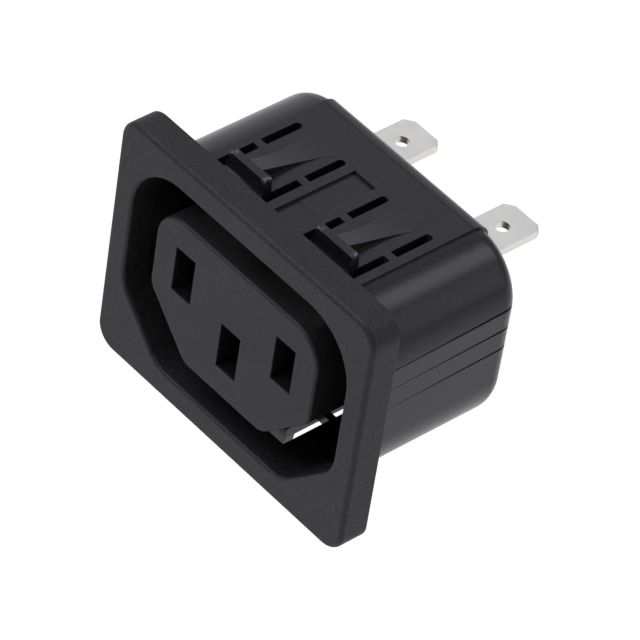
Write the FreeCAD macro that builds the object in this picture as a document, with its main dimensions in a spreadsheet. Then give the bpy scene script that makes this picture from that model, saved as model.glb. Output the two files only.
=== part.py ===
import FreeCAD, Part
import Sketcher
import os

# A female mains outlet that snaps into a panel cut-out. Millimetres, X to the right seen from
# the front, Y to the rear, Z up. The origin is the middle of the flange's rear face, which is
# the face that lies on the panel.

doc = FreeCAD.newDocument("outlet")
sheet = doc.addObject("Spreadsheet::Sheet", "Sizes")
sizeRow = 0


class Size:
    # A length with the spreadsheet expression that gives it, so both go through one sum.
    def __init__(self, value, text):
        self.value = value
        self.text = text

    def joined(self, other, sign, value):
        otherText = other.text if isinstance(other, Size) else repr(other)
        return Size(value, "(" + self.text + " " + sign + " " + otherText + ")")

    def __add__(self, other):
        return self.joined(other, "+", self.value + number(other))

    def __sub__(self, other):
        return self.joined(other, "-", self.value - number(other))

    def __mul__(self, other):
        return self.joined(other, "*", self.value * number(other))

    def __truediv__(self, other):
        return self.joined(other, "/", self.value / number(other))

    def __neg__(self):
        return Size(-self.value, "(0 - " + self.text + ")")


def number(length):
    return length.value if isinstance(length, Size) else length


def size(alias, value, note):
    global sizeRow
    sizeRow = sizeRow + 1
    cell = "B" + str(sizeRow)
    sheet.set("A" + str(sizeRow), note)
    sheet.set(cell, str(value))
    sheet.setAlias(cell, alias)
    return Size(value, "Sizes." + alias)


# The pin slots: their spacing is the standard one, and the rest is built out from them
pinSpacing = size("pinSpacing", 14.0, "line slot to neutral slot")
pinOffset = size("pinOffset", 2.0, "slots above or below the middle")
slotWidth = size("slotWidth", 2.68, "pin slot, left to right")
slotHeight = size("slotHeight", 5.15, "pin slot, bottom to top")
slotWall = size("slotWall", 2.3, "front wall of the core")
fitGap = size("fitGap", 0.1, "clearance around the pieces let in")

# The contacts
tabWidth = size("tabWidth", 4.65, "tab, left to right")
tabReach = size("tabReach", 25.83, "tab's tip behind the panel")
tabRise = size("tabRise", 3.95, "tab's outer face from its slot's middle")
sheetThick = size("sheetThick", 0.8, "sheet that the contacts are folded from")
tipSide = size("tipSide", 0.8, "corner cut of the tab's tip, across")
tipRun = size("tipRun", 0.67, "corner cut of the tab's tip, along")
tipCoin = size("tipCoin", 0.2, "bevel coined on the tip's edges")
tabHole = size("tabHole", 0.75, "radius of the hole in the tab")
tabHoleBack = size("tabHoleBack", 3.13, "hole's middle from the tip")
forkShoulder = size("forkShoulder", 0.175, "folded channel wider than the tab, each side")
forkFront = size("forkFront", 9.0, "front of the channel behind the panel")
forkBend = size("forkBend", 0.2, "inner radius of the fold")
leafFoot = size("leafFoot", 2.0, "leaf's free edge past its slot's middle")
leafHead = size("leafHead", 2.6, "leaf's other edge, below the fold")
leafPinch = size("leafPinch", 0.85, "leaf's inner face at the pinch")
leafMouth = size("leafMouth", 1.4, "leaf's inner face at the mouth")
leafFront = size("leafFront", 0.6, "front of the leaves behind the panel")

# The core around the slots, and the cavity that takes the plug
coreFlank = size("coreFlank", 1.875, "core beside a tab's edge")
coreRoof = size("coreRoof", 1.75, "core above a tab's outer face")
coreCorner = size("coreCorner", 3.5, "radius of the core's top corners")
coreBevel = size("coreBevel", 5.7, "leg of the core's lower bevels")
coreBend = size("coreBend", 2.0, "radius at the ends of those bevels")
coreEdge = size("coreEdge", 0.3, "rounding of the core's front")
sideGap = size("sideGap", 3.7, "core to cavity wall, left and right")
topGap = size("topGap", 3.2, "core to cavity wall, top and bottom")
cavityCorner = size("cavityCorner", 6.0, "radius of the cavity's top corners")
cavityBevel = size("cavityBevel", 6.05, "leg of the cavity's lower bevels")
cavityBend = size("cavityBend", 4.0, "radius at the ends of those bevels")
cavityEdge = size("cavityEdge", 0.33, "rounding of the cavity's mouth")

# The shroud around the cavity, and the flange
shroudDepth = size("shroudDepth", 16.8, "rear face behind the panel")
rearWall = size("rearWall", 2.8, "cavity's floor to the rear face")
sideWall = size("sideWall", 1.05, "shroud's side walls")
topWall = size("topWall", 0.9, "shroud's top wall")
bottomWall = size("bottomWall", 1.15, "shroud's bottom wall")
bevelWall = size("bevelWall", 1.24, "shroud's wall at the lower bevels")
shroudCorner = size("shroudCorner", 6.05, "radius of the shroud's top corners")
shroudBend = size("shroudBend", 7.0, "radius at the ends of the shroud's bevels")
rearEdge = size("rearEdge", 1.8, "rounding around the rear face")
skinLap = size("skinLap", 0.5, "raised flat's edge past the top corner's start")
skinRise = size("skinRise", 0.25, "height of the raised flat on the top")
skinDrop = size("skinDrop", 3.2, "how far the flat runs down the rear face")
rimSide = size("rimSide", 1.5, "flange beyond the shroud, left and right")
rimTop = size("rimTop", 2.0, "flange beyond the shroud, top")
flangeThick = size("flangeThick", 3.15, "flange, front to rear")
flangeCorner = size("flangeCorner", 2.4, "radius of the flange's corners")
flangeEdge = size("flangeEdge", 0.5, "rounding around the flange's front")

# The core's seat in the rear wall, and the pegs that hold it there
coreSeat = size("coreSeat", 0.8, "core let into the rear wall")
pegRadius = size("pegRadius", 0.8, "peg")
pegHead = size("pegHead", 1.4, "radius of the peg's upset head")
pegRise = size("pegRise", 0.45, "height of that head")
pegSpacing = size("pegSpacing", 12.0, "lower pegs, left to right")
pegLow = size("pegLow", 3.4, "lower pegs below the middle")
pegHigh = size("pegHigh", 4.2, "upper peg above the middle")

# The snap latches
latchSpacing = size("latchSpacing", 11.94, "top latches, left to right")
fingerWidth = size("fingerWidth", 5.17, "tongue of a top latch")
slitWide = size("slitWide", 0.88, "slit beside that tongue")
lowFingerWidth = size("lowFingerWidth", 8.4, "tongue of the bottom latch")
lowSlitWide = size("lowSlitWide", 1.25, "slit beside that tongue")
windowFront = size("windowFront", 0.15, "opening's front edge behind the panel")
catchFront = size("catchFront", 1.95, "catch's front face behind the panel")
catchThick = size("catchThick", 0.85, "catch, front to rear")
catchRise = size("catchRise", 1.45, "catch above the raised flat")
catchDraw = size("catchDraw", 0.2, "narrowing of the catch, each side")
catchLean = size("catchLean", 0.3, "catch's foot in front of its top edge")
slitEnd = size("slitEnd", 5.75, "end of the front slit behind the panel")
bridgeLong = size("bridgeLong", 0.85, "bridge between the slits")
slotEnd = size("slotEnd", 11.1, "end of the rear slit behind the panel")
ribWidth = size("ribWidth", 1.72, "ramp behind the catch, left to right")
ribRise = size("ribRise", 1.38, "ramp's height at the catch")
fanEnd = size("fanEnd", 10.8, "end of the ramp's flared tail")
fanWidth = size("fanWidth", 3.92, "width of the tail's end")

# Shallow marks on the outside
panelWidth = size("panelWidth", 2.9, "sunk strip in the raised flat")
panelEnd = size("panelEnd", 11.05, "end of the sunk strip")
panelDeep = size("panelDeep", 0.28, "depth of the sunk strip")
panelStep = size("panelStep", 4.3, "end of the strip's deeper front part")
creaseWide = size("creaseWide", 0.1, "width of a fine groove across the flat")
creaseDeep = size("creaseDeep", 0.05, "depth of that groove")
grooveFront = size("grooveFront", 0.4, "front of the end walls' upper groove")
lowGrooveFront = size("lowGrooveFront", 0.6, "front of the grooves below it")
grooveDeep = size("grooveDeep", 0.32, "depth of a groove at the rear")
grooveTall = size("grooveTall", 0.27, "height of a groove at the rear")
grooveHigh = size("grooveHigh", 6.45, "upper groove's rear end above the middle")
groovePitch = size("groovePitch", 2.38, "groove to groove")
grooveFall = size("grooveFall", 0.5, "how much lower its front end is")

doc.recompute()

# Sizes that follow from those
forkWidth = tabWidth + forkShoulder * 2
coreWidth = pinSpacing + tabWidth + coreFlank * 2
halfCore = pinOffset + tabRise + coreRoof
cavityWidth = coreWidth + sideGap * 2
halfCavity = halfCore + topGap
cavityFloor = shroudDepth - rearWall
seatFloor = cavityFloor + coreSeat
shroudWidth = cavityWidth + sideWall * 2
shroudTop = halfCavity + topWall
shroudBottom = halfCavity + bottomWall
shroudBevel = cavityBevel + sideWall + bottomWall - bevelWall * 1.4142
skinWidth = shroudWidth - shroudCorner * 2 + skinLap * 2
flangeWidth = shroudWidth + rimSide * 2
halfFlange = shroudTop + rimTop
creaseFront = shroudDepth - rearEdge - creaseWide


def bind(item, prop, length):
    item.setExpression(prop, length.text if isinstance(length, Size) else str(length))


def originPlane(body, role):
    return next(f for f in body.Origin.OriginFeatures if f.Role == role)


def attach(item, body, role, offset):
    # The offset is measured along the plane's normal: +Z for XY, -Y for XZ and +X for YZ.
    item.AttachmentSupport = [(originPlane(body, role), "")]
    item.MapMode = "FlatFace"
    if offset is not None:
        bind(item, "AttachmentOffset.Base.z", offset)


def sketchOn(body, name, role, offset=None):
    sketch = body.newObject("Sketcher::SketchObject", name)
    attach(sketch, body, role, offset)
    return sketch


def pinCoordinate(sketch, kind, axis, geo, spot, length):
    # Holds one coordinate of a point to the sketch's origin by a bound distance.
    value = number(length)
    if value == 0:
        sketch.addConstraint(Sketcher.Constraint("PointOnObject", geo, spot, axis))
        return
    if value > 0:
        row = sketch.addConstraint(Sketcher.Constraint(kind, -1, 1, geo, spot, value))
    else:
        row = sketch.addConstraint(Sketcher.Constraint(kind, geo, spot, -1, 1, -value))
        length = -length
    if isinstance(length, Size):
        sketch.setExpression("Constraints[" + str(row) + "]", length.text)


def polygon(sketch, points):
    # A closed run of straight lines; each corner is held by its two coordinates.
    spots = [FreeCAD.Vector(number(across), number(up), 0) for across, up in points]
    first = sketch.GeometryCount
    count = len(spots)
    for i in range(count):
        sketch.addGeometry(Part.LineSegment(spots[i], spots[(i + 1) % count]), False)
    for i in range(count):
        here = first + i
        after = first + (i + 1) % count
        sketch.addConstraint(Sketcher.Constraint("Coincident", here, 2, after, 1))
    for i, (across, up) in enumerate(points):
        pinCoordinate(sketch, "DistanceX", -2, first + i, 1, across)
        pinCoordinate(sketch, "DistanceY", -1, first + i, 1, up)


def circle(sketch, across, up, radius):
    centre = FreeCAD.Vector(number(across), number(up), 0)
    ring = Part.Circle(centre, FreeCAD.Vector(0, 0, 1), number(radius))
    geo = sketch.addGeometry(ring, False)
    pinCoordinate(sketch, "DistanceX", -2, geo, 3, across)
    pinCoordinate(sketch, "DistanceY", -1, geo, 3, up)
    row = sketch.addConstraint(Sketcher.Constraint("Radius", geo, number(radius)))
    if isinstance(radius, Size):
        sketch.setExpression("Constraints[" + str(row) + "]", radius.text)


def rectangle(sketch, left, right, low, high):
    polygon(sketch, [(left, low), (right, low), (right, high), (left, high)])


def roundEnded(sketch, left, right, low, high):
    # A slit from low to high with a square near end and a half round far end
    middle = (left + right) / 2
    spring = high - (right - left) / 2
    corners = [(left, spring), (left, low), (right, low), (right, spring)]
    spots = [FreeCAD.Vector(number(across), number(up), 0) for across, up in corners]
    first = sketch.GeometryCount
    for i in range(3):
        sketch.addGeometry(Part.LineSegment(spots[i], spots[i + 1]), False)
    summit = FreeCAD.Vector(number(middle), number(high), 0)
    arc = sketch.addGeometry(Part.Arc(spots[3], summit, spots[0]), False)
    sketch.addConstraint(Sketcher.Constraint("Coincident", first, 2, first + 1, 1))
    sketch.addConstraint(Sketcher.Constraint("Coincident", first + 1, 2, first + 2, 1))
    sketch.addConstraint(Sketcher.Constraint("Coincident", first + 2, 2, arc, 1))
    sketch.addConstraint(Sketcher.Constraint("Coincident", arc, 2, first, 1))
    for i, (across, up) in enumerate(corners):
        geo = first + min(i, 2)
        spot = 1 if i < 3 else 2
        pinCoordinate(sketch, "DistanceX", -2, geo, spot, across)
        pinCoordinate(sketch, "DistanceY", -1, geo, spot, up)
    pinCoordinate(sketch, "DistanceY", -1, arc, 3, spring)


def sixSided(sketch, width, top, bottom, bevel):
    # The outlet's outline: square upper corners, 45 degree bevels at the lower ones.
    half = width / 2
    polygon(
        sketch,
        [
            (-half, top),
            (half, top),
            (half, bevel - bottom),
            (half - bevel, -bottom),
            (bevel - half, -bottom),
            (-half, bevel - bottom),
        ],
    )


def sixSidedCorners(width, top, bottom, bevel):
    # (upper corners, ends of the bevels) of that outline, as numbers
    half = number(width) / 2
    up = number(top)
    down = -number(bottom)
    leg = number(bevel)
    upper = [(half, up), (-half, up)]
    lower = [(half, down + leg), (half - leg, down), (leg - half, down), (-half, down + leg)]
    return upper, lower


def extrude(body, kind, name, sketch, length, backward=False):
    feature = body.newObject("PartDesign::" + kind, name)
    feature.Profile = sketch
    feature.Reversed = backward
    bind(feature, "Length", length)
    body.Tip = feature
    doc.recompute()
    return feature


def edgesWhere(shape, test):
    return ["Edge" + str(i + 1) for i, edge in enumerate(shape.Edges) if test(edge)]


def runsAlongY(edge, spots):
    # Straight, parallel to Y and over one of the given places in X and Z
    box = edge.BoundBox
    if box.XLength > 1e-4 or box.ZLength > 1e-4:
        return False
    return any(abs(box.XMin - x) < 1e-3 and abs(box.ZMin - z) < 1e-3 for x, z in spots)


def liesAtY(edge, y):
    return abs(edge.BoundBox.YMin - y) < 1e-4 and abs(edge.BoundBox.YMax - y) < 1e-4


def dress(body, kind, name, test, length):
    # A fillet or chamfer on the edges of the body so far that pass the test
    base = body.Tip
    names = edgesWhere(base.Shape, test)
    if not names:
        raise RuntimeError("no edge found for " + name)
    feature = body.newObject("PartDesign::" + kind, name)
    feature.Base = (base, names)
    bind(feature, "Radius" if kind == "Fillet" else "Size", length)
    body.Tip = feature
    doc.recompute()
    return feature


def roundCorners(body, name, corners, radius):
    return dress(body, "Fillet", name, lambda edge: runsAlongY(edge, corners), radius)


def block(body, kind, name, corner, sides):
    # A box added or cut: its near lower left corner and its sides along X, Y and Z
    feature = body.newObject("PartDesign::" + kind, name)
    attach(feature, body, "XY_Plane", None)
    for axis, length in zip("xyz", corner):
        bind(feature, "AttachmentOffset.Base." + axis, length)
    for prop, length in zip(("Length", "Width", "Height"), sides):
        bind(feature, prop, length)
    body.Tip = feature
    doc.recompute()
    return feature


def catch(body, name, across, foot, surface, upward, lean):
    # The plate across a latch's tongue. A front that leans back wedges behind the panel.
    tip = surface + catchRise if upward else surface - catchRise
    root = surface - 0.05 if upward else surface + 0.05
    atRoot = (foot / 2, catchLean - catchFront)
    atTip = (foot / 2 - catchDraw, catchLean - catchFront - lean)
    low, high = (atRoot, atTip) if upward else (atTip, atRoot)
    feature = body.newObject("PartDesign::AdditiveWedge", name)
    attach(feature, body, "XZ_Plane", None)
    bind(feature, "AttachmentOffset.Base.x", across)
    bind(feature, "Ymin", root if upward else tip)
    bind(feature, "Ymax", tip if upward else root)
    bind(feature, "Xmin", -low[0])
    bind(feature, "Xmax", low[0])
    bind(feature, "X2min", -high[0])
    bind(feature, "X2max", high[0])
    bind(feature, "Zmin", -catchFront - catchThick)
    bind(feature, "Zmax", low[1])
    bind(feature, "Z2min", -catchFront - catchThick)
    bind(feature, "Z2max", high[1])
    body.Tip = feature
    doc.recompute()
    return feature


def rib(body, name, across, surface, upward):
    # The ramp behind a catch: it falls in a hollow curve and flares out into the surface.
    near = catchFront + catchThick / 2
    sketches = []
    for i in range(6):
        part = i / 5
        half = (ribWidth + (fanWidth - ribWidth) * part ** 3) / 2
        rise = ribRise * (1 - part) ** 2 + creaseDeep / 4
        behind = near + (fanEnd - near) * part
        lines = sketchOn(body, name + "Lines" + str(i + 1), "XZ_Plane", -behind)
        low = surface - skinRise if upward else surface - rise
        high = surface + rise if upward else surface + skinRise
        rectangle(lines, across - half, across + half, low, high)
        sketches.append(lines)
    doc.recompute()
    feature = body.newObject("PartDesign::AdditiveLoft", name)
    feature.Profile = sketches[0]
    feature.Sections = sketches[1:]
    body.Tip = feature
    doc.recompute()
    return feature


def groove(body, name, sign, near, far):
    # A tapering cut along an end wall. near and far are (y, depth, height, top).
    wall = shroudWidth / 2
    feature = body.newObject("PartDesign::SubtractiveWedge", name)
    attach(feature, body, "XY_Plane", None)
    bind(feature, "Ymin", near[0])
    bind(feature, "Ymax", far[0])
    bind(feature, "Xmin", wall - near[1] if sign > 0 else -wall - 1.0)
    bind(feature, "Xmax", wall + 1.0 if sign > 0 else near[1] - wall)
    bind(feature, "X2min", wall - far[1] if sign > 0 else -wall - 1.0)
    bind(feature, "X2max", wall + 1.0 if sign > 0 else far[1] - wall)
    bind(feature, "Zmin", near[3] - near[2])
    bind(feature, "Zmax", near[3])
    bind(feature, "Z2min", far[3] - far[2])
    bind(feature, "Z2max", far[3])
    body.Tip = feature
    doc.recompute()
    return feature


def window(body, name, across, finger, slit, plane, through):
    # The slits that free a latch's tongue: one around its front, and one down each side of it
    inLeft = across - finger / 2
    inRight = across + finger / 2
    left = inLeft - slit
    right = inRight + slit
    toe = catchFront - catchLean
    bridged = slitEnd + bridgeLong
    sketch = sketchOn(body, name + "Lines", "XY_Plane", plane)
    polygon(
        sketch,
        [
            (left, windowFront),
            (right, windowFront),
            (right, slitEnd),
            (inRight, slitEnd),
            (inRight, toe),
            (inLeft, toe),
            (inLeft, slitEnd),
            (left, slitEnd),
        ],
    )
    roundEnded(sketch, left, inLeft, bridged, slotEnd)
    roundEnded(sketch, inRight, right, bridged, slotEnd)
    return extrude(body, "Pocket", name, sketch, through)


# The housing: one moulding with the flange, the shroud, its rear wall and the latches
housing = doc.addObject("PartDesign::Body", "housing")
flangeLines = sketchOn(housing, "FlangeLines", "XZ_Plane")
rectangle(flangeLines, -flangeWidth / 2, flangeWidth / 2, -halfFlange, halfFlange)
extrude(housing, "Pad", "Flange", flangeLines, flangeThick)
flangeX = number(flangeWidth) / 2
flangeZ = number(halfFlange)
flangeCorners = [(x, z) for x in (-flangeX, flangeX) for z in (-flangeZ, flangeZ)]
roundCorners(housing, "FlangeCorners", flangeCorners, flangeCorner)
dress(housing, "Fillet", "FlangeEdge", lambda e: liesAtY(e, -number(flangeThick)), flangeEdge)

shroudLines = sketchOn(housing, "ShroudLines", "XZ_Plane")
sixSided(shroudLines, shroudWidth, shroudTop, shroudBottom, shroudBevel)
extrude(housing, "Pad", "Shroud", shroudLines, shroudDepth, True)

# The cavity that takes the plug
cavityLines = sketchOn(housing, "CavityLines", "XZ_Plane", flangeThick)
sixSided(cavityLines, cavityWidth, halfCavity, halfCavity, cavityBevel)
extrude(housing, "Pocket", "Cavity", cavityLines, flangeThick + cavityFloor)
upper, lower = sixSidedCorners(cavityWidth, halfCavity, halfCavity, cavityBevel)
roundCorners(housing, "CavityCorners", upper, cavityCorner)
roundCorners(housing, "CavityBends", lower, cavityBend)


def atCavity(edge):
    # An edge of the front face that lies within the cavity's half sizes
    box = edge.BoundBox
    wide = max(abs(box.XMin), abs(box.XMax)) < number(cavityWidth) / 2 + 0.01
    high = max(abs(box.ZMin), abs(box.ZMax)) < number(halfCavity) + 0.01
    return wide and high and liesAtY(edge, -number(flangeThick))


dress(housing, "Fillet", "CavityMouth", atCavity, cavityEdge)

# The shroud's corners and the rounding around its rear face
upper, lower = sixSidedCorners(shroudWidth, shroudTop, shroudBottom, shroudBevel)
roundCorners(housing, "ShroudCorners", upper, shroudCorner)
roundCorners(housing, "ShroudBends", lower, shroudBend)
dress(housing, "Fillet", "RearEdge", lambda e: liesAtY(e, number(shroudDepth)), rearEdge)

# The raised flat on the top, which runs over the rear edge
skinTop = shroudTop + skinRise
skinRear = shroudDepth + skinRise
skinLow = shroudTop - skinDrop
skinUnder = shroudTop - (shroudTop - halfCavity) / 2
skinInner = shroudDepth - rearEdge * 1.2
skinLines = sketchOn(housing, "SkinLines", "YZ_Plane", -skinWidth / 2)
polygon(
    skinLines,
    [
        (-flangeThick / 2, skinTop),
        (skinRear, skinTop),
        (skinRear, skinLow),
        (skinInner, skinLow),
        (skinInner, skinUnder),
        (-flangeThick / 2, skinUnder),
    ],
)
extrude(housing, "Pad", "Skin", skinLines, skinWidth)


def skinCorner(edge):
    box = edge.BoundBox
    atRear = abs(box.YMin - number(skinRear)) < 1e-4 and box.YLength < 1e-4
    return atRear and abs(box.ZMin - number(skinTop)) < 1e-4 and box.ZLength < 1e-4


dress(housing, "Fillet", "SkinEdge", skinCorner, rearEdge + skinRise)

# The core's seat in the cavity's floor, with a slot for each tab and a hole for each peg
seatWidth = coreWidth + fitGap * 2
halfSeat = halfCore + fitGap
seatBevel = coreBevel + fitGap * 0.5858
seatLines = sketchOn(housing, "SeatLines", "XZ_Plane", -cavityFloor)
sixSided(seatLines, seatWidth, halfSeat, halfSeat, seatBevel)
extrude(housing, "Pocket", "Seat", seatLines, coreSeat)
upper, lower = sixSidedCorners(seatWidth, halfSeat, halfSeat, seatBevel)
roundCorners(housing, "SeatCorners", upper, coreCorner + fitGap)
roundCorners(housing, "SeatBends", lower, coreBend + fitGap)

slotMiddles = [(-pinSpacing / 2, pinOffset), (pinSpacing / 2, pinOffset), (0, -pinOffset)]
pegs = [(-pegSpacing / 2, -pegLow), (pegSpacing / 2, -pegLow), (0, pegHigh)]
tabOut = tabRise + fitGap
tabIn = tabRise - sheetThick - fitGap
halfTabSlot = tabWidth / 2 + fitGap
passLines = sketchOn(housing, "PassLines", "XZ_Plane", -shroudDepth)
for across, up in slotMiddles:
    if across == 0:
        rectangle(passLines, -halfTabSlot, halfTabSlot, up - tabOut, up - tabIn)
    else:
        left = across - halfTabSlot
        rectangle(passLines, left, across + halfTabSlot, up + tabIn, up + tabOut)
for across, up in pegs:
    circle(passLines, across, up, pegRadius + fitGap / 2)
extrude(housing, "Pocket", "Passes", passLines, rearWall, True)

# The two top latches
topPlane = skinTop + 0.5
topThrough = topPlane - halfCavity + 0.5
for side, latchX in (("Right", latchSpacing / 2), ("Left", -latchSpacing / 2)):
    window(housing, side + "Window", latchX, fingerWidth, slitWide, topPlane, topThrough)
    catch(housing, side + "Catch", latchX, fingerWidth, skinTop, True, catchLean)
    rib(housing, side + "Rib", latchX, skinTop, True)

# The bottom latch, in the middle, with an upright front
lowPlane = -halfCavity + 0.5
lowThrough = shroudBottom - halfCavity + 1.0
middle = Size(0, "0")
window(housing, "LowWindow", middle, lowFingerWidth, lowSlitWide, lowPlane, lowThrough)
catch(housing, "LowCatch", middle, lowFingerWidth, -shroudBottom, False, 0)
rib(housing, "LowRib", middle, -shroudBottom, False)

# Shallow marks: the sunk strip, the fine groove across the flat and those along the end walls
block(
    housing,
    "SubtractiveBox",
    "Strip",
    (-panelWidth / 2, 0, skinTop - panelDeep),
    (panelWidth, panelEnd, panelDeep + 1.0),
)
block(
    housing,
    "SubtractiveBox",
    "StripFront",
    (-panelWidth / 2, 0, skinTop - panelDeep - creaseDeep),
    (panelWidth, panelStep, panelDeep),
)
block(
    housing,
    "SubtractiveBox",
    "Crease",
    (-skinWidth / 2, creaseFront, skinTop - creaseDeep),
    (skinWidth, creaseWide, creaseDeep + 1.0),
)
for i in range(3):
    rearTop = grooveHigh - groovePitch * i
    if i == 0:
        near = (grooveFront, grooveDeep * 0.3, grooveTall * 0.4, rearTop - grooveFall)
    else:
        near = (lowGrooveFront, grooveDeep * 0.1, grooveTall * 0.12, rearTop - grooveFall)
    far = (shroudDepth, grooveDeep, grooveTall, rearTop)
    groove(housing, "RightGroove" + str(i + 1), 1, near, far)
    groove(housing, "LeftGroove" + str(i + 1), -1, near, far)

# The core: a second moulding that holds the contacts, pegged to the rear wall
core = doc.addObject("PartDesign::Body", "contact_core")
coreLines = sketchOn(core, "CoreLines", "XZ_Plane", flangeThick)
sixSided(coreLines, coreWidth, halfCore, halfCore, coreBevel)
extrude(core, "Pad", "Core", coreLines, flangeThick + seatFloor, True)
upper, lower = sixSidedCorners(coreWidth, halfCore, halfCore, coreBevel)
roundCorners(core, "CoreCorners", upper, coreCorner)
roundCorners(core, "CoreBends", lower, coreBend)
dress(core, "Fillet", "CoreFront", lambda e: liesAtY(e, -number(flangeThick)), coreEdge)

slotLines = sketchOn(core, "SlotLines", "XZ_Plane", flangeThick)
for across, up in slotMiddles:
    left = -slotWidth / 2 if across == 0 else across - slotWidth / 2
    right = slotWidth / 2 if across == 0 else across + slotWidth / 2
    rectangle(slotLines, left, right, up - slotHeight / 2, up + slotHeight / 2)
extrude(core, "Pocket", "Slots", slotLines, slotWall + 0.5)

halfChamber = forkWidth / 2 + fitGap
chamberIn = leafFoot + fitGap * 3
chamberLines = sketchOn(core, "ChamberLines", "XZ_Plane", -seatFloor)
for across, up in slotMiddles:
    if across == 0:
        rectangle(chamberLines, -halfChamber, halfChamber, up - tabOut, up + chamberIn)
    else:
        left = across - halfChamber
        rectangle(chamberLines, left, across + halfChamber, up - chamberIn, up + tabOut)
extrude(core, "Pocket", "Chambers", chamberLines, seatFloor + flangeThick - slotWall, True)

# The core's pegs stand through the rear wall and end in upset heads
pegLines = sketchOn(core, "PegLines", "XZ_Plane", -seatFloor)
headLines = sketchOn(core, "HeadLines", "XZ_Plane", -shroudDepth)
for across, up in pegs:
    circle(pegLines, across, up, pegRadius)
    circle(headLines, across, up, pegHead)
extrude(core, "Pad", "Pegs", pegLines, shroudDepth - seatFloor + pegRise / 2, True)
extrude(core, "Pad", "PegHeads", headLines, pegRise, True)


def headEdge(edge):
    ring = edge.Curve
    wide = isinstance(ring, Part.Circle) and abs(ring.Radius - number(pegHead)) < 1e-4
    return wide and liesAtY(edge, number(shroudDepth + pegRise))


dress(core, "Fillet", "HeadRounds", headEdge, pegRise * 0.7)


def contact(label, across, up, turned):
    # One strip: a folded channel, two leaves in front that grip the pin, and the tab behind.
    # It is drawn about its own slot's middle, with the tab on the upper side.
    body = doc.addObject("PartDesign::Body", label)
    outer = forkWidth / 2
    inner = outer - sheetThick
    under = tabRise - sheetThick
    channelLines = sketchOn(body, label + "ChannelLines", "XZ_Plane", -forkFront)
    polygon(
        channelLines,
        [
            (-outer, -leafFoot),
            (-inner, -leafFoot),
            (-inner, under),
            (inner, under),
            (inner, -leafFoot),
            (outer, -leafFoot),
            (outer, tabRise),
            (-outer, tabRise),
        ],
    )
    channelLong = seatFloor - forkFront
    extrude(body, "Pad", label + "Channel", channelLines, channelLong, True)
    foldX = number(outer)
    foldZ = number(tabRise)
    roundCorners(body, label + "Folds", [(foldX, foldZ), (-foldX, foldZ)], forkBend + sheetThick)
    innerX = number(inner)
    innerZ = number(under)
    inside = [(innerX, innerZ), (-innerX, innerZ)]
    roundCorners(body, label + "FoldInsides", inside, forkBend)

    leafLines = sketchOn(body, label + "LeafLines", "XY_Plane", -leafFoot)
    rootY = forkFront + sheetThick
    pinchRear = leafFront + sheetThick * 4.2
    pinchFront = leafFront + sheetThick * 3.5
    for side in (1, -1):
        inLine = [
            (inner * side, rootY),
            (inner * side, forkFront - sheetThick / 2),
            (leafPinch * side, pinchRear),
            (leafPinch * side, pinchFront),
            (leafMouth * side, leafFront),
        ]
        outLine = [(x + sheetThick * side, y) for x, y in reversed(inLine)]
        polygon(leafLines, inLine + outLine)
    extrude(body, "Pad", label + "Leaves", leafLines, leafFoot + leafHead)

    tabLines = sketchOn(body, label + "TabLines", "XY_Plane", under)
    half = tabWidth / 2
    polygon(
        tabLines,
        [
            (-half, seatFloor - sheetThick),
            (half, seatFloor - sheetThick),
            (half, tabReach - tipRun),
            (half - tipSide, tabReach),
            (tipSide - half, tabReach),
            (-half, tabReach - tipRun),
        ],
    )
    circle(tabLines, 0, tabReach - tabHoleBack, tabHole)
    extrude(body, "Pad", label + "Tab", tabLines, sheetThick)

    def tipEdge(edge):
        box = edge.BoundBox
        atTip = box.YMin > number(tabReach - tipRun) - 1e-4 and box.YMax > number(tabReach) - 1e-4
        return atTip and box.ZLength < 1e-4

    dress(body, "Chamfer", label + "Tip", tipEdge, tipCoin)
    if turned:
        body.Placement.Rotation = FreeCAD.Rotation(FreeCAD.Vector(0, 1, 0), 180)
    bind(body, "Placement.Base.x", across)
    bind(body, "Placement.Base.z", up)
    return body


line = contact("line_contact", -pinSpacing / 2, pinOffset, False)
neutral = contact("neutral_contact", pinSpacing / 2, pinOffset, False)
earth = contact("earth_contact", 0.0, -pinOffset, True)
doc.recompute()

# Every object is checked, then each piece is written to its own file
for item in doc.Objects:
    if "Invalid" in item.State or "Error" in item.State:
        raise RuntimeError(item.Name + " is not valid: " + str(item.State))
os.makedirs("parts", exist_ok=True)
for piece in (housing, core, line, neutral, earth):
    shape = piece.Shape
    if shape.isNull() or not shape.isValid() or len(shape.Solids) != 1:
        raise RuntimeError(piece.Label + " is not one sound solid")
    shape.exportStep("parts/" + piece.Label + ".step")
    print(piece.Label, round(shape.Volume, 2), shape.BoundBox)
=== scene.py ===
import bpy
import numpy as np
from mathutils import Matrix, Vector

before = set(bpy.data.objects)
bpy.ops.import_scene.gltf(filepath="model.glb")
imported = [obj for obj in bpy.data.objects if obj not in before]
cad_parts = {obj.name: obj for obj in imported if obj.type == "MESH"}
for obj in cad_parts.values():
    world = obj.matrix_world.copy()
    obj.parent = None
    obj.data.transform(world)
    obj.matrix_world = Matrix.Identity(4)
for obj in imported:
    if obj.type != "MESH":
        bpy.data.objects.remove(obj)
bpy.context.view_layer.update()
print("frame loaded:", sorted(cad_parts))

mm = 0.001


def fromHex(text):
    # sRGB hex to linear red, green and blue, with alpha 1
    parts = np.array([int(text[i:i + 2], 16) for i in (1, 3, 5)]) / 255
    linear = np.where(parts <= 0.04045, parts / 12.92, ((parts + 0.055) / 1.055) ** 2.4)
    return (*[float(part) for part in linear], 1.0)


def addNode(tree, kind, settings=None, links=None):
    # one node: settings go to its inputs or, if it has no such input, to its own properties
    node = tree.nodes.new(kind)
    for name, value in (settings or {}).items():
        if isinstance(name, str) and name not in node.inputs:
            setattr(node, name, value)
        else:
            node.inputs[name].default_value = value
    for name, source in (links or {}).items():
        tree.links.new(source, node.inputs[name])
    return node


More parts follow.
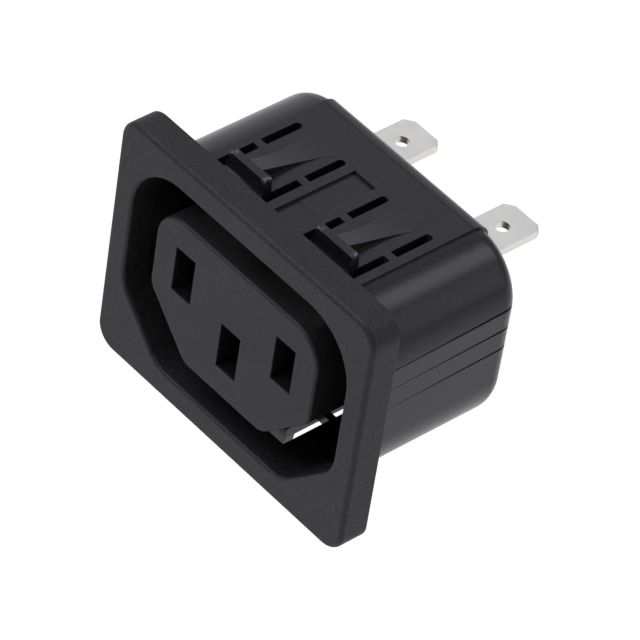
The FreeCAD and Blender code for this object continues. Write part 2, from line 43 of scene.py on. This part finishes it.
def newMaterial(name):
    # an empty node tree with its output
    material = bpy.data.materials.new(name)
    material.use_nodes = True
    tree = material.node_tree
    tree.nodes.clear()
    return material, tree, addNode(tree, "ShaderNodeOutputMaterial")


def overlap(tree, ramps):
    # how far a spot lies in every ramp: each rises from 0 at low to 1 at high, and they multiply
    total = None
    for source, low, high in ramps:
        ramp = addNode(
            tree, "ShaderNodeMapRange", {"From Min": low, "From Max": high}, {"Value": source},
        ).outputs[0]
        if total is not None:
            ramp = addNode(
                tree, "ShaderNodeMath", {"operation": "MULTIPLY"}, {0: total, 1: ramp},
            ).outputs[0]
        total = ramp
    return total


def dress(node, material):
    # the CAD node keeps its mesh and takes this material in every slot
    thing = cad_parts[node]
    if not thing.data.materials:
        thing.data.materials.append(material)
    for i in range(len(thing.data.materials)):
        thing.data.materials[i] = material


# Mouldings

housingLook = {
    "deep": "#000000",  # the two ends of the mottle
    "pale": "#212123",
    "mottle": 1.0,  # how far the grained faces swing between the two
    "plainMottle": 0.45,
    "mottleMm": 0.42,
    "mottleEnds": (0.25, 0.75),  # noise values at the two ends
    "ior": 1.50,
    "specular": 0.29,  # the filler and the grain hold the shine down
    "grainMm": 0.22,  # spark-eroded grain of the tool, drawn about twice as coarse to show
    "grainDeepMm": 0.03,
    "grainBump": 0.90,
    "plainBump": 0.02,
    "grainFromMm": 0.0,  # the flange, in front of the panel
    "softMm": 0.1,  # half width of the change from one finish to the next
    "roughGrained": 0.55,
    "roughPlain": 0.28,  # smooth faces behind the panel
    "flowMm": 9.0,  # cloudy variation left by the melt
    "flowRough": 0.04,
    "edgeMm": 0.04,  # a tool never leaves a perfectly sharp edge
    "slots": None,
    "paintedGlint": {  # painted highlight on the catches' upper ends, where their top corners catch the light
        "colour": "#56565a",
        "latchMm": 5.97,  # middle of a latch from the middle of the part
        "alongMm": (1.7, 2.3),  # from none to full, along the catch from its middle
        "aboveMm": (13.15, 13.45),
        "behindMm": (0.5, 1.0),
        "speckMm": 0.35,
        "speckEnds": (0.42, 0.62),
    },
}
coreLook = {
    **housingLook,  # the same plastic
    "mottle": 0.8,
    "grainBump": 0.55,
    "grainFromMm": -3.0,  # only its front face
    "roughPlain": 0.55,
    "flowMm": 7.0,
    "slots": {"rough": 0.20, "halfMm": (9.4, 5.6)},  # drawn over polished pins of the tool
    "paintedGlint": None,
}


def paintedGlintShare(tree, place, at, away, paintedGlint):
    # how much painted highlight a spot gets: at the upper ends of the catches only, broken up into
    # specks
    fromLatch = addNode(
        tree, "ShaderNodeMath", {"operation": "SUBTRACT", 1: paintedGlint["latchMm"] * mm}, {0: away["X"]},
    ).outputs[0]
    along = addNode(tree, "ShaderNodeMath", {"operation": "ABSOLUTE"}, {0: fromLatch}).outputs[0]
    specks = addNode(
        tree, "ShaderNodeTexNoise",
        {"Scale": 1 / (paintedGlint["speckMm"] * mm), "Detail": 2.0},
        {"Vector": place},
    ).outputs[0]
    ramps = [
        (source, low * mm, high * mm)
        for source, (low, high) in (
            (along, paintedGlint["alongMm"]),
            (at["Z"], paintedGlint["aboveMm"]),
            (at["Y"], paintedGlint["behindMm"]),
        )
    ]
    return overlap(tree, [*ramps, (specks, *paintedGlint["speckEnds"])])


def mouldedPolyamide(name, look):
    # black polyamide, moulded: grained and dull in front, smooth with a soft sheen behind
    material, tree, output = newMaterial(name)
    place = addNode(tree, "ShaderNodeTexCoord").outputs["Object"]
    at = addNode(tree, "ShaderNodeSeparateXYZ", links={0: place}).outputs
    spread = addNode(tree, "ShaderNodeVectorMath", {"operation": "ABSOLUTE"}, {0: place}).outputs[0]
    away = addNode(tree, "ShaderNodeSeparateXYZ", links={0: spread}).outputs
    soft = look["softMm"]
    grainFrom = look["grainFromMm"]
    grained = overlap(tree, [(at["Y"], (grainFrom + soft) * mm, (grainFrom - soft) * mm)])

    # roughness: grained or plain, polished in the slots, a little cloudy all over
    rough = addNode(
        tree, "ShaderNodeMapRange",
        {"To Min": look["roughPlain"], "To Max": look["roughGrained"]},
        {"Value": grained},
    )
    if look["slots"]:
        inSlots = overlap(tree, [
            (away[axis], (half + soft) * mm, (half - soft) * mm)
            for axis, half in zip("XZ", look["slots"]["halfMm"])
        ])
        plain = addNode(
            tree, "ShaderNodeMapRange",
            {"To Min": look["roughPlain"], "To Max": look["slots"]["rough"]},
            {"Value": inSlots},
        ).outputs[0]
        tree.links.new(plain, rough.inputs["To Min"])
    flow = addNode(
        tree, "ShaderNodeTexNoise",
        {"Scale": 1 / (look["flowMm"] * mm), "Detail": 2.0},
        {"Vector": place},
    ).outputs[0]
    cloudy = addNode(
        tree, "ShaderNodeMapRange",
        {"To Min": -look["flowRough"], "To Max": look["flowRough"]},
        {"Value": flow},
    ).outputs[0]
    roughness = addNode(
        tree, "ShaderNodeMath", {"operation": "ADD"}, {0: rough.outputs[0], 1: cloudy},
    ).outputs[0]

    # grain, on edges that are a little round
    grain = addNode(
        tree, "ShaderNodeTexNoise",
        {"Scale": 1 / (look["grainMm"] * mm), "Detail": 3.0, "Roughness": 0.6},
        {"Vector": place},
    ).outputs[0]
    depth = addNode(
        tree, "ShaderNodeMapRange",
        {"To Min": look["plainBump"], "To Max": look["grainBump"]},
        {"Value": grained},
    ).outputs[0]
    edge = addNode(
        tree, "ShaderNodeBevel", {"samples": 6, "Radius": look["edgeMm"] * mm},
    ).outputs[0]
    bump = addNode(
        tree, "ShaderNodeBump",
        {"Distance": look["grainDeepMm"] * mm},
        {"Height": grain, "Strength": depth, "Normal": edge},
    ).outputs[0]

    # colour: mottled between deep and pale, less so on the plain faces
    spots = addNode(
        tree, "ShaderNodeTexNoise",
        {"Scale": 1 / (look["mottleMm"] * mm), "Detail": 4.0, "Roughness": 0.7},
        {"Vector": place},
    ).outputs[0]
    lowest, highest = look["mottleEnds"]
    swing = addNode(
        tree, "ShaderNodeMapRange",
        {"From Min": lowest, "From Max": highest, "To Min": -0.5, "To Max": 0.5},
        {"Value": spots},
    ).outputs[0]
    amount = addNode(
        tree, "ShaderNodeMapRange",
        {"To Min": look["plainMottle"], "To Max": look["mottle"]},
        {"Value": grained},
    ).outputs[0]
    share = addNode(
        tree, "ShaderNodeMath", {"operation": "MULTIPLY_ADD", 2: 0.5}, {0: swing, 1: amount},
    ).outputs[0]
    colour = addNode(
        tree, "ShaderNodeMix",
        {"data_type": "RGBA", 6: fromHex(look["deep"]), 7: fromHex(look["pale"])},
        {0: share},
    ).outputs[2]
    # painted highlight mixed into the colour at the catches' upper ends
    if look["paintedGlint"]:
        colour = addNode(
            tree, "ShaderNodeMix",
            {"data_type": "RGBA", 7: fromHex(look["paintedGlint"]["colour"])},
            {0: paintedGlintShare(tree, place, at, away, look["paintedGlint"]), 6: colour},
        ).outputs[2]

    shader = addNode(
        tree, "ShaderNodeBsdfPrincipled",
        {"IOR": look["ior"], "Specular IOR Level": look["specular"]},
        {"Base Color": colour, "Roughness": roughness, "Normal": bump},
    )
    tree.links.new(shader.outputs[0], output.inputs[0])
    return material


dress("housing", mouldedPolyamide("mouldedBlackPolyamide", housingLook))
dress("contact_core", mouldedPolyamide("coreBlackPolyamide", coreLook))
print("mouldings dressed")

# Contacts

contactLook = {
    "bright": "#dcdcd3",
    "dull": "#c8c8c0",
    "cloudMm": 1.6,
    "bareAndLitSide": "#dbd7cd",  # brass that shows through at the cut edges of the tabs, drawn paler than most of the plating as a painted highlight on the tabs' sides
    "cutFacing": (0.9, 0.6),  # upward part of the normal, from flat face to cut edge
    "tabMm": (16.3, 16.5),  # where the tabs leave the rear wall
    "rough": 0.37,
    "roughSwing": 0.06,
    "rollMm": 0.12,  # rolling lines along the strip, drawn coarser than they are
    "rollLongMm": 4.0,
    "rollDeepMm": 0.01,
    "rollBump": 0.15,
    "edgeMm": 0.06,
}


def tinnedBrass(look):
    # tin plate over rolled brass strip: pale grey metal, satin, with faint lines along the strip
    material, tree, output = newMaterial("tinPlatedBrass")
    coordinates = addNode(tree, "ShaderNodeTexCoord").outputs
    place = coordinates["Object"]
    perMetre = [1 / (look[size] * mm) for size in ("rollMm", "rollLongMm", "rollMm")]
    drawn = addNode(
        tree, "ShaderNodeMapping", {"Scale": perMetre}, {"Vector": place},
    ).outputs[0]
    lines = addNode(
        tree, "ShaderNodeTexNoise", {"Scale": 1.0, "Detail": 3.0}, {"Vector": drawn},
    ).outputs[0]
    cloud = addNode(
        tree, "ShaderNodeTexNoise",
        {"Scale": 1 / (look["cloudMm"] * mm), "Detail": 3.0},
        {"Vector": place},
    ).outputs[0]
    plated = addNode(
        tree, "ShaderNodeMix",
        {"data_type": "RGBA", 6: fromHex(look["dull"]), 7: fromHex(look["bright"])},
        {0: cloud},
    ).outputs[2]
    facing = addNode(tree, "ShaderNodeSeparateXYZ", links={0: coordinates["Normal"]}).outputs["Z"]
    flatness = addNode(tree, "ShaderNodeMath", {"operation": "ABSOLUTE"}, {0: facing}).outputs[0]
    alongY = addNode(tree, "ShaderNodeSeparateXYZ", links={0: place}).outputs["Y"]
    tabFrom, tabTo = look["tabMm"]
    # the tabs' sides behind the rear wall: bare brass of the cut edges, lightened there as painted
    # highlight
    bareAndLitShare = overlap(tree, [
        (flatness, *look["cutFacing"]),
        (alongY, tabFrom * mm, tabTo * mm),
    ])
    colour = addNode(
        tree, "ShaderNodeMix",
        {"data_type": "RGBA", 7: fromHex(look["bareAndLitSide"])},
        {0: bareAndLitShare, 6: plated},
    ).outputs[2]
    roughness = addNode(
        tree, "ShaderNodeMapRange",
        {
            "To Min": look["rough"] - look["roughSwing"],
            "To Max": look["rough"] + look["roughSwing"],
        },
        {"Value": lines},
    ).outputs[0]
    edge = addNode(
        tree, "ShaderNodeBevel", {"samples": 6, "Radius": look["edgeMm"] * mm},
    ).outputs[0]
    bump = addNode(
        tree, "ShaderNodeBump",
        {"Distance": look["rollDeepMm"] * mm, "Strength": look["rollBump"]},
        {"Height": lines, "Normal": edge},
    ).outputs[0]
    shader = addNode(
        tree, "ShaderNodeBsdfPrincipled",
        {"Metallic": 1.0},
        {"Base Color": colour, "Roughness": roughness, "Normal": bump},
    )
    tree.links.new(shader.outputs[0], output.inputs[0])
    return material


tin = tinnedBrass(contactLook)
for contact in ("line_contact", "neutral_contact", "earth_contact"):
    dress(contact, tin)
print("contacts dressed")

# Floor

floorLook = {
    "heightMm": -75.0,
    "halfMm": 4000.0,
    "points": 3,  # along each side
    "pale": "#f9fbf9",
    "warm": "#f5f7f5",
    "cloudMm": 1000 / 3,
    "rough": 0.9,
}


def paleBoard(look):
    # painted board: matt white with barely visible clouding
    material, tree, output = newMaterial("whitePaintedBoard")
    place = addNode(tree, "ShaderNodeTexCoord").outputs["Object"]
    cloud = addNode(
        tree, "ShaderNodeTexNoise",
        {"Scale": 1 / (look["cloudMm"] * mm), "Detail": 2.0},
        {"Vector": place},
    ).outputs[0]
    colour = addNode(
        tree, "ShaderNodeMix",
        {"data_type": "RGBA", 6: fromHex(look["warm"]), 7: fromHex(look["pale"])},
        {0: cloud},
    ).outputs[2]
    shader = addNode(
        tree, "ShaderNodeBsdfPrincipled", {"Roughness": look["rough"]}, {"Base Color": colour},
    )
    tree.links.new(shader.outputs[0], output.inputs[0])
    return material


def floorSheet(look):
    # a flat square: x and y run over the grid, z is the floor's height
    count = look["points"]
    side = np.linspace(-look["halfMm"], look["halfMm"], count) * mm
    x, y = np.meshgrid(side, side, indexing="ij")
    points = np.stack([x.ravel(), y.ravel(), np.full(x.size, look["heightMm"] * mm)], 1)
    i, j = np.meshgrid(np.arange(count - 1), np.arange(count - 1), indexing="ij")
    first = (i * count + j).ravel()
    faces = np.stack([first, first + count, first + count + 1, first + 1], 1)
    mesh = bpy.data.meshes.new("floor")
    mesh.from_pydata(points.tolist(), [], faces.tolist())
    mesh.materials.append(paleBoard(look))
    sheet = bpy.data.objects.new("floor", mesh)
    bpy.context.scene.collection.objects.link(sheet)
    return sheet


floorSheet(floorLook)
print("floor laid")

# Light: a dim pale room, a broad soft box overhead, soft panels in front, at the sides and behind

lightLook = {
    "room": (0.95, 0.95, 1.0, 1.0),
    "roomStrength": 0.48,
    "panelTint": (0.98, 0.96, 1.0),
    "coolTint": (0.91, 0.91, 1.08),
    "coolBoxes": ("leftPanel", "sidePanel"),
    "boxes": {  # direction from the object, then distance, width and height in metres, and watts
        "mainBox": ((-0.35, -0.30, 0.89), 1.1, 1.0, 0.8, 8.2),
        "frontPanel": ((-0.51, -0.70, 0.48), 1.2, 0.8, 0.7, 1.5),
        "leftPanel": ((-0.55, 0.68, 0.50), 1.2, 0.7, 1.0, 1.1),
        "sidePanel": ((-0.86, 0.50, 0.12), 1.2, 0.7, 0.45, 0.5),
        "topStrip": ((0.235, 0.55, 0.80), 1.2, 0.44, 0.8, 3.1),
        "rightPanel": ((0.72, 0.55, 0.36), 1.2, 0.55, 0.75, 1.25),
    },
}


def softLight(look):
    # the room's glow, and lamps that all face the object
    world = bpy.data.worlds.new("paleRoom")
    world.use_nodes = True
    glow = world.node_tree.nodes["Background"]
    glow.inputs["Color"].default_value = look["room"]
    glow.inputs["Strength"].default_value = look["roomStrength"]
    bpy.context.scene.world = world
    for name, (direction, distance, wide, high, watts) in look["boxes"].items():
        lamp = bpy.data.lights.new(name, "AREA")
        lamp.shape = "RECTANGLE"
        lamp.size, lamp.size_y = wide, high
        lamp.energy = watts
        lamp.color = look["coolTint" if name in look["coolBoxes"] else "panelTint"]
        thing = bpy.data.objects.new(name, lamp)
        toward = Vector(direction).normalized()
        thing.location = toward * distance
        thing.rotation_euler = toward.to_track_quat("Z", "Y").to_euler()
        bpy.context.scene.collection.objects.link(thing)


softLight(lightLook)
print("lights set")

# Camera: place and turn were worked out from the corners of the flange and the pin slots

cameraLook = {
    "placeMm": (235.88, -244.52, 311.54),
    "turn": (2.0895, 1.0287, -0.2974),  # turn vector from the object's axes to the image's
    "lens": 287.12,
    "sensor": 36.0,
    "clip": (0.01, 20.0),
}


def viewCamera(look):
    data = bpy.data.cameras.new("camera")
    data.lens = look["lens"]
    data.sensor_width = look["sensor"]
    data.clip_start, data.clip_end = look["clip"]
    thing = bpy.data.objects.new("camera", data)
    turn = Vector(look["turn"])
    right, down, inward = Matrix.Rotation(turn.length, 3, turn.normalized())
    axes = Matrix((right, -down, -inward)).transposed()
    thing.matrix_world = Matrix.Translation(Vector(look["placeMm"]) * mm) @ axes.to_4x4()
    bpy.context.scene.collection.objects.link(thing)
    bpy.context.scene.camera = thing


viewCamera(cameraLook)
bpy.context.scene.view_settings.view_transform = "Standard"
print("camera set")
